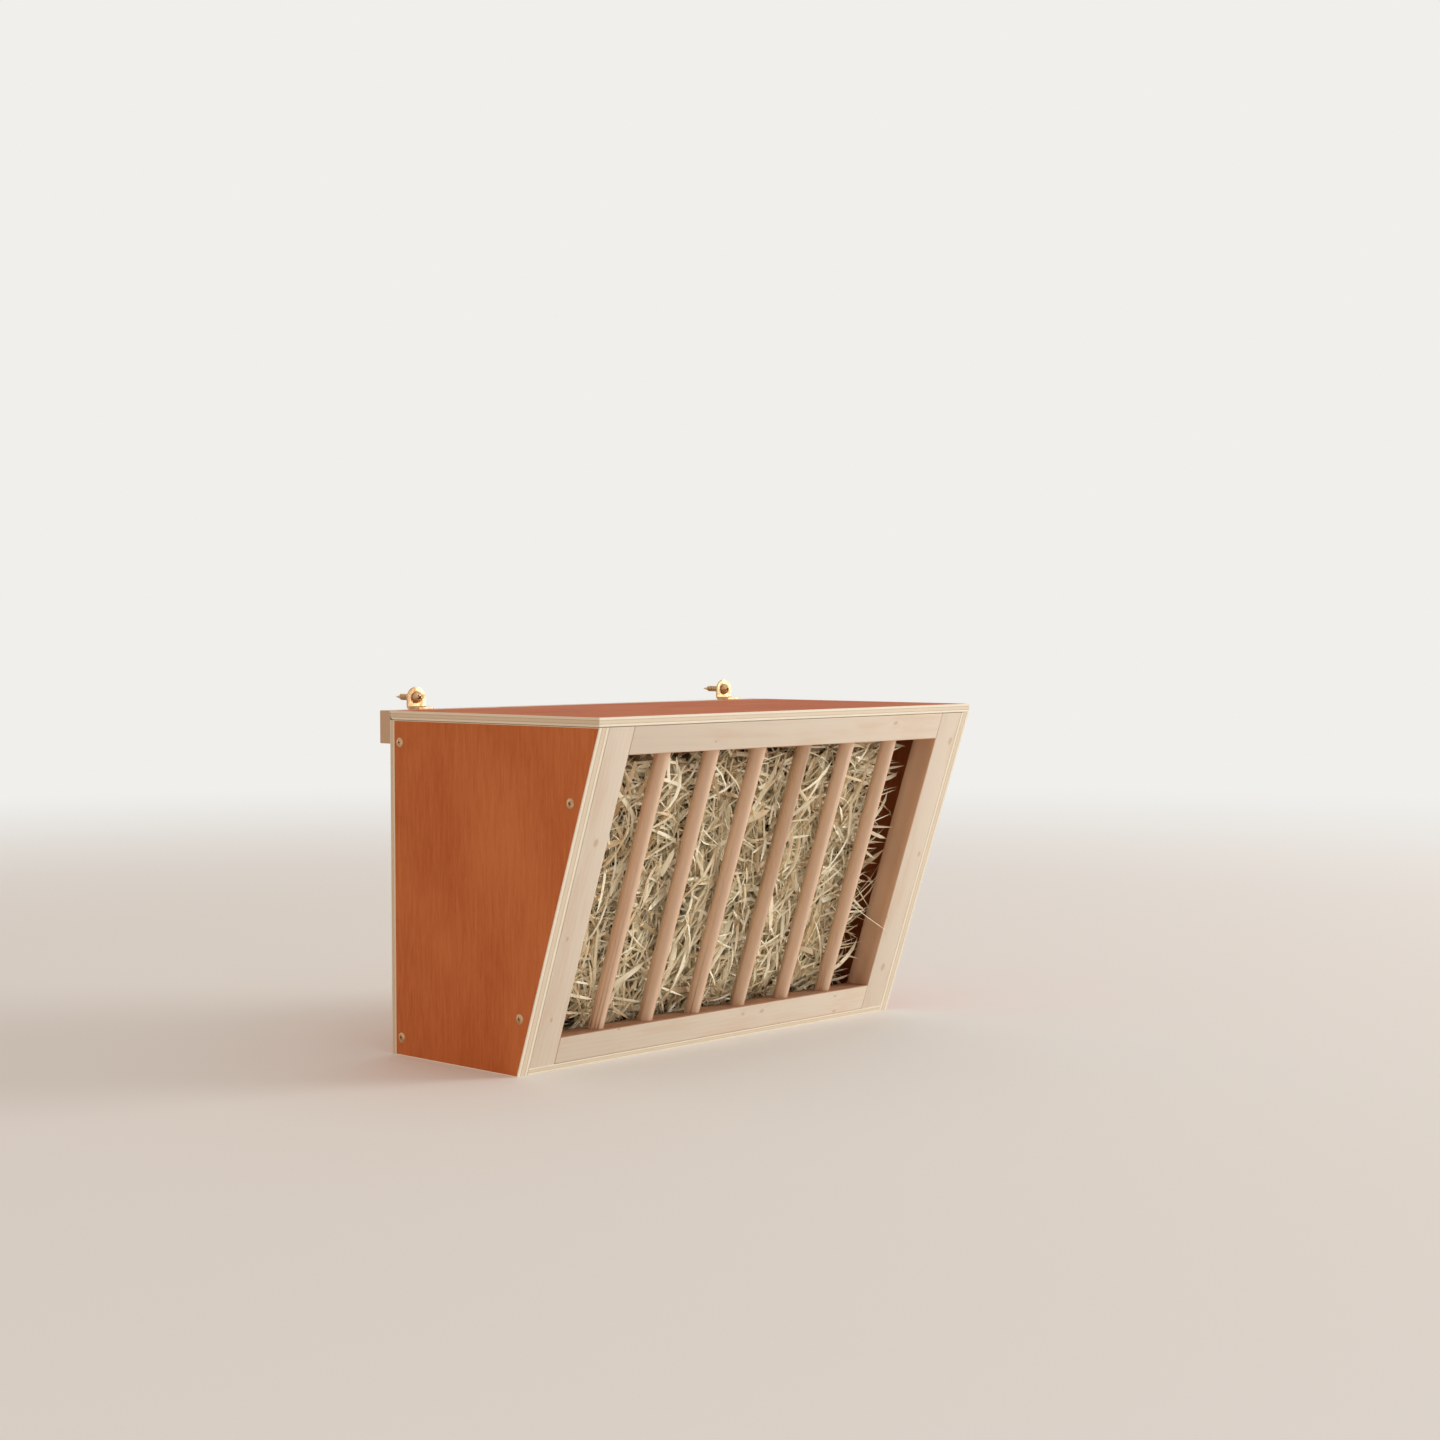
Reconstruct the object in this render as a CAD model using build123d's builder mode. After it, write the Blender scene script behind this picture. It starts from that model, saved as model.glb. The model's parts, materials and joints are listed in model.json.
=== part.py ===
from build123d import *
from math import asin, cos, radians, sin, tan
import os

os.makedirs("parts", exist_ok=True)

# Hay feeder box for the wall of a small-animal cage: a plywood box whose barred front leans in
# towards the bottom, under a lid that turns up on two small butt hinges.
# Millimetres, +Z up. The wall is the plane Y = 0 and the feeder stands out of it towards -Y.
# X = 0 is the middle of its width. The origin lies midway between the two wall screws.
# Left and right are as seen from the front.

# ---------------------------------------------------------------- driving sizes

# Box of stained plywood
box_width = 250.0
box_height = 152.3              # side panels, top edge to foot
box_depth = 138.0               # at the top, front edge to the rear face of the back panel
front_lean = 19.0               # degrees between the barred front and the wall
side_thickness = 6.0
back_thickness = 3.0
bottom_thickness = 3.0
edge_ease = 0.3                 # sanded arris on every plywood and pine edge

# Lid
lid_thickness = 4.0
lid_seat_gap = 0.2              # between the closed lid and the box
lid_rear_gap = 0.3              # between the lid's round rear edge and the hanging rail

# Barred front, of planed pine
frame_depth = 13.0              # square to the front face
stile_width = 15.0
top_rail_height = 12.3
bottom_rail_height = 12.3
bar_diameter = 7.0
bar_count = 6
bar_socket_depth = 8.0
socket_end_gap = 0.3
glue_gap = 0.05                 # round every bar, dowel pin, screw and nail in its hole

# Dowel pins that join the rails to the stiles
dowel_pin_diameter = 5.0
dowel_pin_length = 16.0

# Posts in the two rear corners
post_width = 10.0
post_depth = 8.0

# Hanging rail behind the box
hanging_rail_height = 15.0
hanging_rail_thickness = 7.0

# Brass angle brackets on the hanging rail
bracket_width = 10.5
bracket_thickness = 1.0
bracket_height = 10.3           # above the rail
bracket_inset = 21.5            # bracket centre to the end of the box
bracket_bend_radius = 0.8       # inside the bend
bracket_corner_radius = 1.5     # front corners of the horizontal leaf
bracket_leaf_setback = 0.3      # horizontal leaf's front edge behind the rail's front face
wall_screw_height = 5.5         # wall screw above the lid

# Screws: head diameter, rise of the head above its rim, shank diameter, length below the rim
wall_screw = (5.5, 2.4, 3.0, 15.0)
side_screw = (4.5, 0.5, 2.2, 14.0)
bracket_screw = (3.8, 0.3, 2.0, 10.0)
rail_screw = (4.5, 0.5, 2.2, 9.0)
hinge_rail_screw = (2.4, 0.0, 1.2, 5.0)
hinge_lid_screw = (2.4, 0.0, 1.2, 3.0)
wall_screw_neck = 2.4           # smooth neck under the head, through the bracket to the wall plane
screw_tip = 1.4                 # length of the point, in shank diameters
screw_tip_radius = 0.15         # of the point's blunt end
sunk_crown = 0.7                # flat crown of a raised countersunk head, as a share of its width
recess_width = 0.16             # drive cross of a wall screw, as shares of the head diameter
recess_span = 0.62
recess_depth = 0.55             # as a share of the head's rise

# Places of the side screws
upper_front_screw_drop = 32.3   # below the top of the side panel
lower_front_screw_rise = 25.3   # above its foot
upper_rear_screw_drop = 10.1
lower_rear_screw_rise = 8.0

# Screws that hold the hanging rail, driven from inside through the back panel
inner_rail_screw_x = 35.0       # from the middle of the box
outer_rail_screw_inset = 30.0   # from the end of the box

# Headless wire nails
nail_diameter = 1.2
nail_length = 12.0
back_nail_count = 3             # down each side of the back panel
back_nail_end = 14.0            # lowest and highest nail to the panel's foot and the rail
bottom_nail_count = 2           # into the bottom rail, each midway between two bars
post_nail_edge = 1.8            # nail into a corner post, to the post's front face

# Lid hinges
hinge_inset = 55.0              # hinge centre to the end of the box
hinge_width = 14.0
hinge_leaf_thickness = 0.8
hinge_barrel_diameter = 3.2
hinge_pin_diameter = 1.6
hinge_pin_clearance = 0.05      # radial, in every knuckle
hinge_knuckle_length = 5.0      # middle knuckle, on the lid's leaf
hinge_knuckle_gap = 0.2
hinge_notch_gap = 0.3           # round the knuckles in the lid's rear edge
hinge_lid_leaf_length = 13.8
hinge_rail_leaf_drop = 10.0     # rail leaf below the hinge axis
hinge_rail_screw_drop = 6.5     # its screws below the hinge axis
hinge_screw_spacing = 8.0

# ---------------------------------------------------------------- derived places

lean = tan(radians(front_lean))
lean_cos = cos(radians(front_lean))

half_width = box_width / 2
inside_x = half_width - side_thickness
opening_x = inside_x - stile_width
bracket_x = half_width - bracket_inset
hinge_x = half_width - hinge_inset

rail_rear_y = -bracket_thickness
rail_front_y = rail_rear_y - hanging_rail_thickness
back_front_y = rail_front_y - back_thickness
front_top_y = rail_front_y - box_depth

lid_top_z = -wall_screw_height
lid_under_z = lid_top_z - lid_thickness
box_top_z = lid_under_z - lid_seat_gap
box_foot_z = box_top_z - box_height
bottom_top_z = box_foot_z + bottom_thickness
rail_foot_z = lid_top_z - hanging_rail_height
opening_top_z = box_top_z - top_rail_height
opening_foot_z = bottom_top_z + bottom_rail_height

hinge_y = rail_front_y - lid_rear_gap - lid_thickness / 2
hinge_z = lid_top_z - lid_thickness / 2

bar_gap = (2 * opening_x - bar_count * bar_diameter) / (bar_count + 1)
bar_pitch = bar_gap + bar_diameter


def front_y(z, inset=0.0):
    """Y of the leaning front face at height z, or of a plane inset behind it, square to it."""
    return front_top_y + (box_top_z - z) * lean + inset / lean_cos


def write(piece, label):
    """Label a finished piece and write it as a STEP file."""
    piece.part.label = label
    export_step(piece.part, f"parts/{label}.step")


def hole_radius(diameter):
    return diameter / 2 + glue_gap


# ---------------------------------------------------------------- screws and nails


def shank_end(shank, length):
    """Points down half a screw's shank to the middle of its point."""
    return [(shank, screw_tip * 2 * shank - length), (screw_tip_radius, -length), (0, -length)]


def make_sunk_screw(sizes):
    """A countersunk screw along -Z, the rim of its head at Z = 0."""
    head_diameter, rise, shank_diameter, length = sizes
    head = head_diameter / 2
    shank = shank_diameter / 2
    crown = [(sunk_crown * head, rise)] if rise else []
    with BuildPart() as screw:
        with BuildSketch(Plane.XZ):
            with BuildLine():
                Polyline(
                    (0, rise),
                    *crown,
                    (head, 0),
                    (shank, shank - head),
                    *shank_end(shank, length),
                    close=True,
                )
            make_face()
        revolve(axis=Axis.Z)
    return screw.part


def make_wall_screw():
    """A domed screw along -Z, the underside of its head at Z = 0 and a smooth neck below it."""
    head_diameter, rise, shank_diameter, length = wall_screw
    head = head_diameter / 2
    neck = wall_screw_neck / 2
    shank = shank_diameter / 2
    dome = (head**2 + rise**2) / (2 * rise)
    half_turn = asin(head / dome) / 2
    with BuildPart() as screw:
        with BuildSketch(Plane.XZ):
            with BuildLine():
                ThreePointArc(
                    (0, rise),
                    (dome * sin(half_turn), rise - dome + dome * cos(half_turn)),
                    (head, 0),
                )
                Polyline(
                    (head, 0),
                    (neck, 0),
                    (neck, -bracket_thickness),
                    (shank, -bracket_thickness),
                    *shank_end(shank, length),
                    (0, rise),
                )
            make_face()
        revolve(axis=Axis.Z)
        span = recess_span * head_diameter
        width = recess_width * head_diameter
        depth = recess_depth * rise
        with Locations((0, 0, rise)):
            Box(span, width, 2 * depth, mode=Mode.SUBTRACT)
            Box(width, span, 2 * depth, mode=Mode.SUBTRACT)
    return screw.part


def make_nail():
    """A headless wire nail along -Z, its top at Z = 0."""
    with BuildPart() as nail:
        Cylinder(nail_diameter / 2, nail_length, align=(Align.CENTER, Align.CENTER, Align.MAX))
    return nail.part


def facing(x, y, z, direction):
    """A plane at a point, whose normal is the way a screw head there faces."""
    return Plane(origin=(x, y, z), z_dir=direction)


LEFT, FRONT, REAR, UP, DOWN = (-1, 0, 0), (0, -1, 0), (0, 1, 0), (0, 0, 1), (0, 0, -1)

# Side screws, on the outside of the left panel: two into the stile, two into the post
upper_front_z = box_top_z - upper_front_screw_drop
lower_front_z = box_foot_z + lower_front_screw_rise
post_middle_y = back_front_y - post_depth / 2
side_screw_places = [
    (front_y(upper_front_z, frame_depth / 2), upper_front_z),
    (front_y(lower_front_z, frame_depth / 2), lower_front_z),
    (post_middle_y, box_top_z - upper_rear_screw_drop),
    (post_middle_y, box_foot_z + lower_rear_screw_rise),
]
side_screw_planes = [facing(-half_width, y, z, LEFT) for y, z in side_screw_places]

# Hanging rail: screws from inside the box, and one down through each bracket
rail_screw_z = (box_top_z + rail_foot_z) / 2
rail_screw_planes = [
    facing(side * x, back_front_y, rail_screw_z, FRONT)
    for x in (inner_rail_screw_x, half_width - outer_rail_screw_inset)
    for side in (-1, 1)
]
bracket_screw_y = (rail_front_y + bracket_leaf_setback + rail_rear_y - bracket_bend_radius) / 2
bracket_screw_planes = [
    facing(side * bracket_x, bracket_screw_y, lid_top_z + bracket_thickness, UP)
    for side in (-1, 1)
]
wall_screw_planes = [facing(side * bracket_x, -bracket_thickness, 0, FRONT) for side in (-1, 1)]

# Hinge screws
hinge_screw_xs = [
    side * hinge_x + offset * hinge_screw_spacing / 2 for side in (-1, 1) for offset in (-1, 1)
]
hinge_rail_screw_z = hinge_z - hinge_rail_screw_drop
hinge_notch_y = hinge_y - hinge_barrel_diameter / 2 - hinge_notch_gap
hinge_lid_screw_y = hinge_notch_y - hinge_lid_leaf_length / 2
hinge_rail_screw_planes = [facing(x, rail_front_y, hinge_rail_screw_z, FRONT) for x in hinge_screw_xs]
hinge_lid_screw_planes = [facing(x, hinge_lid_screw_y, lid_under_z, DOWN) for x in hinge_screw_xs]

# Nails: the back panel into the side panels, the bottom panel into the bottom rail and posts
side_middle_x = half_width - side_thickness / 2
back_nail_low_z = box_foot_z + back_nail_end
back_nail_step = (rail_foot_z - back_nail_end - back_nail_low_z) / (back_nail_count - 1)
back_nail_planes = [
    facing(side * side_middle_x, rail_front_y, back_nail_low_z + i * back_nail_step, REAR)
    for side in (-1, 1)
    for i in range(back_nail_count)
]
bar_xs = [(i - (bar_count - 1) / 2) * bar_pitch for i in range(bar_count)]
bottom_nail_gaps = [
    round(i * (bar_count - 2) / (bottom_nail_count - 1)) for i in range(bottom_nail_count)
]
bottom_nail_y = front_y(bottom_top_z + bottom_rail_height / 2, frame_depth / 2)
bottom_nail_planes = [
    facing(bar_xs[gap] + bar_pitch / 2, bottom_nail_y, box_foot_z, DOWN)
    for gap in bottom_nail_gaps
]
post_middle_x = inside_x - post_width / 2
post_nail_y = back_front_y - post_depth + post_nail_edge
post_nail_planes = [
    facing(side * post_middle_x, post_nail_y, box_foot_z, DOWN) for side in (-1, 1)
]


def nail_holes(planes):
    """Cut the holes of nails into the part being built."""
    with Locations(*planes):
        Hole(hole_radius(nail_diameter), depth=nail_length + glue_gap)


def screw_holes(planes, sizes):
    """Cut the pilot holes of screws into the part being built."""
    head_diameter, rise, shank_diameter, length = sizes
    with Locations(*planes):
        Hole(hole_radius(shank_diameter), depth=length + glue_gap)


def sunk_screw_holes(planes, sizes, depth):
    """Cut countersunk clearance for screws through a wall of the depth given."""
    head_diameter, rise, shank_diameter, length = sizes
    with Locations(*planes):
        CounterSinkHole(hole_radius(shank_diameter), hole_radius(head_diameter), depth=depth,
                        counter_sink_angle=90)


def place_all(piece, planes):
    """Put a copy of a screw or nail on each plane, as one node of separate solids."""
    with BuildPart() as group:
        with Locations(*planes):
            add(piece)
    return group


# ---------------------------------------------------------------- plywood panels

with BuildPart() as left_side_panel:
    with BuildSketch(Plane.YZ.offset(-half_width)):
        with BuildLine():
            Polyline(
                (front_y(box_top_z), box_top_z),
                (back_front_y, box_top_z),
                (back_front_y, box_foot_z),
                (front_y(box_foot_z), box_foot_z),
                close=True,
            )
        make_face()
    extrude(amount=side_thickness)
    chamfer(left_side_panel.faces().filter_by(Axis.X).edges(), length=edge_ease)
    sunk_screw_holes(side_screw_planes, side_screw, side_thickness)
    nail_holes([plane for plane in back_nail_planes if plane.origin.X < 0])
write(left_side_panel, "left_side_panel")

with BuildPart() as right_side_panel:
    mirror(left_side_panel.part, about=Plane.YZ)
write(right_side_panel, "right_side_panel")

with BuildPart() as back_panel:
    with BuildSketch(Plane.XZ.offset(-rail_front_y)):
        with Locations((0, (box_top_z + box_foot_z) / 2)):
            Rectangle(box_width, box_height)
    extrude(amount=back_thickness)
    chamfer(back_panel.faces().filter_by(Axis.Y).edges(), length=edge_ease)
    nail_holes(back_nail_planes)
    sunk_screw_holes(rail_screw_planes, rail_screw, back_thickness)
write(back_panel, "back_panel")

with BuildPart() as bottom_panel:
    with BuildSketch(Plane.YZ):
        with BuildLine():
            Polyline(
                (front_y(bottom_top_z), bottom_top_z),
                (back_front_y, bottom_top_z),
                (back_front_y, box_foot_z),
                (front_y(box_foot_z), box_foot_z),
                close=True,
            )
        make_face()
    extrude(amount=inside_x, both=True)
    nail_holes(bottom_nail_planes + post_nail_planes)
write(bottom_panel, "bottom_panel")

# ---------------------------------------------------------------- lid, its rear edge rounded on the axis

with BuildPart() as lid:
    with BuildSketch(Plane.YZ):
        with BuildLine():
            Polyline(
                (hinge_y, lid_under_z),
                (front_top_y + edge_ease, lid_under_z),
                (front_top_y, lid_under_z + edge_ease),
                (front_top_y, lid_top_z - edge_ease),
                (front_top_y + edge_ease, lid_top_z),
                (hinge_y, lid_top_z),
            )
            ThreePointArc((hinge_y, lid_top_z), (hinge_y + lid_thickness / 2, hinge_z),
                          (hinge_y, lid_under_z))
        make_face()
    extrude(amount=half_width, both=True)
    chamfer(lid.edges().filter_by(Axis.Y), length=edge_ease)
    notch_width = hinge_width + 2 * hinge_notch_gap
    with Locations((-hinge_x, hinge_notch_y, hinge_z), (hinge_x, hinge_notch_y, hinge_z)):
        Box(notch_width, lid_thickness * 2, lid_thickness * 2,
            align=(Align.CENTER, Align.MIN, Align.CENTER), mode=Mode.SUBTRACT)
    with Locations((-hinge_x, hinge_notch_y, lid_under_z), (hinge_x, hinge_notch_y, lid_under_z)):
        Box(hinge_width, hinge_lid_leaf_length, hinge_leaf_thickness,
            align=(Align.CENTER, Align.MAX, Align.MIN), mode=Mode.SUBTRACT)
    screw_holes(hinge_lid_screw_planes, hinge_lid_screw)
write(lid, "lid")

# ---------------------------------------------------------------- barred front


def frame_member(foot_z, head_z, x_start, x_end):
    """A stick of the frame: its ends or edges level, its front and rear faces leaning."""
    with BuildPart() as member:
        with BuildSketch(Plane.YZ.offset(x_start)):
            with BuildLine():
                Polyline(
                    (front_y(head_z), head_z),
                    (front_y(head_z, frame_depth), head_z),
                    (front_y(foot_z, frame_depth), foot_z),
                    (front_y(foot_z), foot_z),
                    close=True,
                )
            make_face()
        extrude(amount=x_end - x_start)
    return member.part


# Bars: their axes lie in the middle of the frame's depth, along its lean
bar_middle_z = (opening_top_z + opening_foot_z) / 2
bar_direction = (0, lean, -1)
bar_reach = (opening_top_z - opening_foot_z) / 2 / lean_cos + bar_socket_depth
bar_row = Plane(
    origin=(0, front_y(bar_middle_z, frame_depth / 2), bar_middle_z),
    x_dir=(1, 0, 0),
    z_dir=bar_direction,
)

# Dowel pins: one in each corner of the frame, along X, through the middle of the rail's section
dowel_pin_zs = [box_top_z - top_rail_height / 2, bottom_top_z + bottom_rail_height / 2]
dowel_pin_places = [(front_y(z, frame_depth / 2), z) for z in dowel_pin_zs]


def along_x(x, y, z):
    """A plane at a point, its normal along +X."""
    return Plane(origin=(x, y, z), z_dir=(1, 0, 0))


def dowel_pin_holes(xs, places):
    """Cut holes for dowel pins centred at the X values and (Y, Z) places given."""
    with Locations(*[along_x(x, y, z) for x in xs for y, z in places]):
        Cylinder(hole_radius(dowel_pin_diameter), dowel_pin_length + 2 * socket_end_gap,
                 mode=Mode.SUBTRACT)


with BuildPart() as left_stile:
    add(frame_member(bottom_top_z, box_top_z, -inside_x, -opening_x))
    chamfer(left_stile.edges().filter_by(Axis((0, 0, 0), bar_direction)), length=edge_ease)
    dowel_pin_holes([-opening_x], dowel_pin_places)
    screw_holes(side_screw_planes[:2], side_screw)
write(left_stile, "left_stile")

with BuildPart() as right_stile:
    mirror(left_stile.part, about=Plane.YZ)
write(right_stile, "right_stile")


def rail(foot_z, head_z, pin_place):
    """A rail of the frame, with the sockets of the bars and of its two dowel pins."""
    # The nails stand under the lower rail, so they reach only that one.
    with BuildPart() as rail_piece:
        add(frame_member(foot_z, head_z, -opening_x, opening_x))
        chamfer(rail_piece.edges().filter_by(Axis.X), length=edge_ease)
        with BuildSketch(bar_row):
            with Locations(*[(x, 0) for x in bar_xs]):
                Circle(hole_radius(bar_diameter))
        extrude(amount=bar_reach + socket_end_gap, both=True, mode=Mode.SUBTRACT)
        dowel_pin_holes([-opening_x, opening_x], [pin_place])
        nail_holes(bottom_nail_planes)
    return rail_piece


top_rail = rail(opening_top_z, box_top_z, dowel_pin_places[0])
write(top_rail, "top_rail")

bottom_rail = rail(bottom_top_z, opening_foot_z, dowel_pin_places[1])
write(bottom_rail, "bottom_rail")

for number, x in enumerate(bar_xs, start=1):
    with BuildPart() as bar:
        with BuildSketch(bar_row):
            with Locations((x, 0)):
                Circle(bar_diameter / 2)
        extrude(amount=bar_reach, both=True)
    write(bar, f"bar_{number}")

with BuildPart() as frame_dowel_pins:
    for x in (-opening_x, opening_x):
        with BuildSketch(Plane.YZ.offset(x)):
            with Locations(*dowel_pin_places):
                Circle(dowel_pin_diameter / 2)
        extrude(amount=dowel_pin_length / 2, both=True)
write(frame_dowel_pins, "frame_dowel_pins")

# ---------------------------------------------------------------- posts and hanging rail

with BuildPart() as left_corner_post:
    with BuildSketch(Plane.XY.offset(bottom_top_z)):
        with Locations((-inside_x, back_front_y)):
            Rectangle(post_width, post_depth, align=(Align.MIN, Align.MAX))
    extrude(amount=box_top_z - bottom_top_z)
    chamfer(left_corner_post.edges().filter_by(Axis.Z).sort_by(Axis.X)[-2:].sort_by(Axis.Y)[0],
            length=edge_ease)
    screw_holes(side_screw_planes[2:], side_screw)
    nail_holes(post_nail_planes[:1])
write(left_corner_post, "left_corner_post")

with BuildPart() as right_corner_post:
    mirror(left_corner_post.part, about=Plane.YZ)
write(right_corner_post, "right_corner_post")

with BuildPart() as hanging_rail:
    with BuildSketch(Plane.XZ.offset(-rail_rear_y)):
        with Locations((0, lid_top_z)):
            Rectangle(box_width, hanging_rail_height, align=(Align.CENTER, Align.MAX))
    extrude(amount=hanging_rail_thickness)
    chamfer(hanging_rail.edges().filter_by(Axis.X).group_by(Axis.Y)[-1], length=edge_ease)
    recess_top_z = hinge_z + hinge_leaf_thickness / 2
    with Locations((-hinge_x, rail_front_y, recess_top_z), (hinge_x, rail_front_y, recess_top_z)):
        Box(hinge_width, hinge_leaf_thickness, hinge_rail_leaf_drop + hinge_leaf_thickness / 2,
            align=(Align.CENTER, Align.MIN, Align.MAX), mode=Mode.SUBTRACT)
    screw_holes(hinge_rail_screw_planes, hinge_rail_screw)
    screw_holes(rail_screw_planes, rail_screw)
    screw_holes(bracket_screw_planes, bracket_screw)
write(hanging_rail, "hanging_rail")

# ---------------------------------------------------------------- brackets

with BuildPart() as left_bracket:
    leaf_front_y = rail_front_y + bracket_leaf_setback
    leaf_top_z = lid_top_z + bracket_thickness
    bracket_top_z = lid_top_z + bracket_height
    with BuildSketch(Plane.YZ.offset(-bracket_x)):
        with BuildLine():
            bend_outside = bracket_bend_radius + bracket_thickness
            bend_centre = (-bend_outside, lid_top_z + bend_outside)
            CenterArc(bend_centre, bend_outside, -90, 90)
            Polyline(
                (0, lid_top_z + bend_outside),
                (0, bracket_top_z),
                (-bracket_thickness, bracket_top_z),
                (-bracket_thickness, lid_top_z + bend_outside),
            )
            CenterArc(bend_centre, bracket_bend_radius, -90, 90)
            Polyline(
                (-bend_outside, leaf_top_z),
                (leaf_front_y, leaf_top_z),
                (leaf_front_y, lid_top_z),
                (-bend_outside, lid_top_z),
            )
        make_face()
    extrude(amount=bracket_width / 2, both=True)
    with BuildSketch(Plane.XZ):
        with Locations((-bracket_x, bracket_top_z - bracket_width / 2)):
            Circle(bracket_width / 2)
            Rectangle(bracket_width, bracket_height, align=(Align.CENTER, Align.MAX))
    extrude(amount=box_depth, both=True, mode=Mode.INTERSECT)
    fillet(left_bracket.edges().filter_by(Axis.Z).group_by(Axis.Y)[0], bracket_corner_radius)
    with Locations(wall_screw_planes[0]):
        Hole(hole_radius(wall_screw[2]), depth=bracket_thickness)
    sunk_screw_holes(bracket_screw_planes[:1], bracket_screw, bracket_thickness)
write(left_bracket, "left_bracket")

with BuildPart() as right_bracket:
    mirror(left_bracket.part, about=Plane.YZ)
write(right_bracket, "right_bracket")

# ---------------------------------------------------------------- lid hinges

outer_knuckle_start = hinge_knuckle_length / 2 + hinge_knuckle_gap
outer_knuckle_length = hinge_width / 2 - outer_knuckle_start


def knuckles(starts, length):
    """Barrels of a hinge on the hinge axis, from each X start."""
    with Locations(*[along_x(start, hinge_y, hinge_z) for start in starts]):
        Cylinder(hinge_barrel_diameter / 2, length, align=(Align.CENTER, Align.CENTER, Align.MIN))


def knuckle_bores(starts, length):
    """The pin's running bore through each barrel."""
    with Locations(*[along_x(start, hinge_y, hinge_z) for start in starts]):
        Cylinder(hinge_pin_diameter / 2 + hinge_pin_clearance, length,
                 align=(Align.CENTER, Align.CENTER, Align.MIN), mode=Mode.SUBTRACT)


def rail_leaf(x_middle):
    """Leaf let into the hanging rail, carrying the two outer knuckles."""
    starts = (x_middle - hinge_width / 2, x_middle + outer_knuckle_start)
    leaf_top_z = hinge_z + hinge_leaf_thickness / 2
    with BuildPart() as leaf:
        with Locations((x_middle, rail_front_y, leaf_top_z)):
            Box(hinge_width, hinge_leaf_thickness, hinge_rail_leaf_drop + hinge_leaf_thickness / 2,
                align=(Align.CENTER, Align.MIN, Align.MAX))
        knuckles(starts, outer_knuckle_length)
        with Locations(*[(start, rail_front_y, hinge_z) for start in starts]):
            Box(outer_knuckle_length, rail_front_y - hinge_y, hinge_leaf_thickness,
                align=(Align.MIN, Align.MAX, Align.CENTER))
        knuckle_bores(starts, outer_knuckle_length)
        planes = [plane for plane in hinge_rail_screw_planes if plane.origin.X * x_middle > 0]
        sunk_screw_holes(planes, hinge_rail_screw, hinge_leaf_thickness)
    return leaf


def lid_leaf(x_middle):
    """Leaf let into the lid's underside, carrying the middle knuckle."""
    start = x_middle - hinge_knuckle_length / 2
    with BuildPart() as leaf:
        with Locations((x_middle, hinge_notch_y, lid_under_z)):
            Box(hinge_width, hinge_lid_leaf_length, hinge_leaf_thickness,
                align=(Align.CENTER, Align.MAX, Align.MIN))
            Box(hinge_knuckle_length, hinge_y - hinge_notch_y, hinge_leaf_thickness,
                align=(Align.CENTER, Align.MIN, Align.MIN))
        knuckles([start], hinge_knuckle_length)
        knuckle_bores([start], hinge_knuckle_length)
        planes = [plane for plane in hinge_lid_screw_planes if plane.origin.X * x_middle > 0]
        sunk_screw_holes(planes, hinge_lid_screw, hinge_leaf_thickness)
    return leaf


for side, x in (("left", -hinge_x), ("right", hinge_x)):
    write(rail_leaf(x), f"{side}_hinge_rail_leaf")
    write(lid_leaf(x), f"{side}_hinge_lid_leaf")

with BuildPart() as hinge_pins:
    for x in (-hinge_x, hinge_x):
        with BuildSketch(Plane.YZ.offset(x)):
            with Locations((hinge_y, hinge_z)):
                Circle(hinge_pin_diameter / 2)
        extrude(amount=hinge_width / 2, both=True)
write(hinge_pins, "hinge_pins")

# ---------------------------------------------------------------- screws and nails in place

left_side_screws = place_all(make_sunk_screw(side_screw), side_screw_planes)
write(left_side_screws, "left_side_screws")

with BuildPart() as right_side_screws:
    mirror(left_side_screws.part, about=Plane.YZ)
write(right_side_screws, "right_side_screws")

for sizes, planes, label in (
    (bracket_screw, bracket_screw_planes, "bracket_screws"),
    (rail_screw, rail_screw_planes, "rail_screws"),
    (hinge_rail_screw, hinge_rail_screw_planes, "hinge_rail_screws"),
    (hinge_lid_screw, hinge_lid_screw_planes, "hinge_lid_screws"),
):
    write(place_all(make_sunk_screw(sizes), planes), label)

write(place_all(make_wall_screw(), wall_screw_planes), "wall_screws")
write(place_all(make_nail(), back_nail_planes), "back_nails")
write(place_all(make_nail(), bottom_nail_planes + post_nail_planes), "bottom_nails")
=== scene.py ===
import json
import math
import random

import bmesh
import bpy
from bpy.props import FloatProperty, FloatVectorProperty, IntProperty, PointerProperty
from mathutils import Euler, Matrix, Vector

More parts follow.
